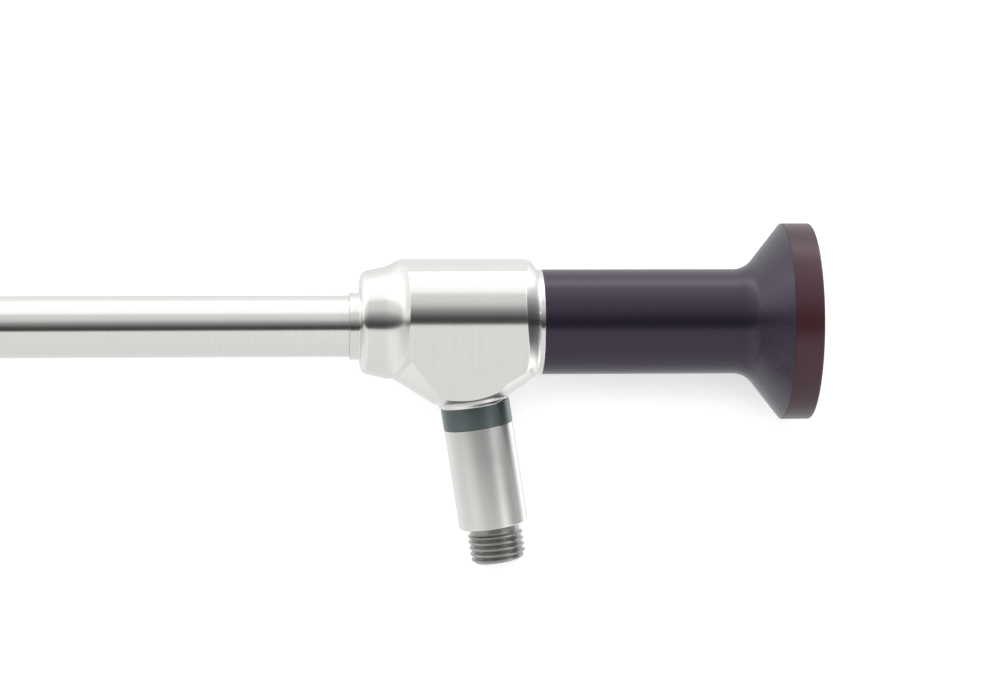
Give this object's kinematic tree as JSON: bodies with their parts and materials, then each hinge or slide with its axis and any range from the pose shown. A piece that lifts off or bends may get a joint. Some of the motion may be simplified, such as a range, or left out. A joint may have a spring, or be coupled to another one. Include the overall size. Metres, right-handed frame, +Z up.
{
  "type": "rigid endoscope",
  "caption": "Rigid rod-lens endoscope with a long steel shaft cut at a slant, a steel body with a side light post and a black flared eyepiece, lying on a table.",
  "frame": {"origin": "centre of the bounding box at its bottom, on the table the instrument lies on", "axes": "+X along the scope toward the eyepiece, +Z up, the light post toward -Y"},
  "size_m": [0.4054, 0.0548, 0.0321],
  "materials": {
    "steel": "satin, brushed round",
    "inner_steel": "plain",
    "black_barrel": "anodised, satin black",
    "dark_rim": "satin, brown-black",
    "grey_ring": "dark grey-green, satin",
    "black_metal": "anodised, matte black",
    "seal": "matte",
    "solder": "gold-plated solder",
    "fibres": "polished ends",
    "glass": "polished"
  },
  "bodies": {
    "root": {"outer_tube": "steel", "shaft_collar": "steel", "optic_tube": "inner_steel", "illumination_fibres": "fibres", "distal_window": "glass", "front_lens": "glass", "deflecting_prism": "glass", "objective_sleeve": "inner_steel", "objective_lens": "glass", "objective_ring": "inner_steel", "body": "steel", "neck_seal": "seal", "optic_bush": "black_metal", "light_post": "steel", "post_ring": "grey_ring", "post_sleeve": "steel", "fibre_ferrule": "inner_steel", "eyepiece_barrel": "black_barrel", "eyecup_rim": "dark_rim", "ocular_tube": "black_metal", "field_stop": "black_metal", "ocular_spacer_front": "black_metal", "ocular_lens": "glass", "ocular_spacer_rear": "black_metal", "doublet_crown": "glass", "doublet_flint": "glass", "ocular_retainer": "black_metal", "window_seal": "solder", "eyepiece_window": "glass", "window_ring": "black_metal", "rod_lens_1": "glass", "rod_lens_2": "glass", "rod_lens_3": "glass", "rod_lens_4": "glass", "rod_lens_5": "glass", "rod_lens_6": "glass", "rod_lens_7": "glass", "rod_spacer_1": "inner_steel", "rod_spacer_2": "inner_steel", "rod_spacer_3": "inner_steel", "rod_spacer_4": "inner_steel", "rod_spacer_5": "inner_steel", "rod_spacer_6": "inner_steel", "rod_spacer_7": "inner_steel", "rod_spacer_8": "inner_steel"}
  },
  "joints": []
}
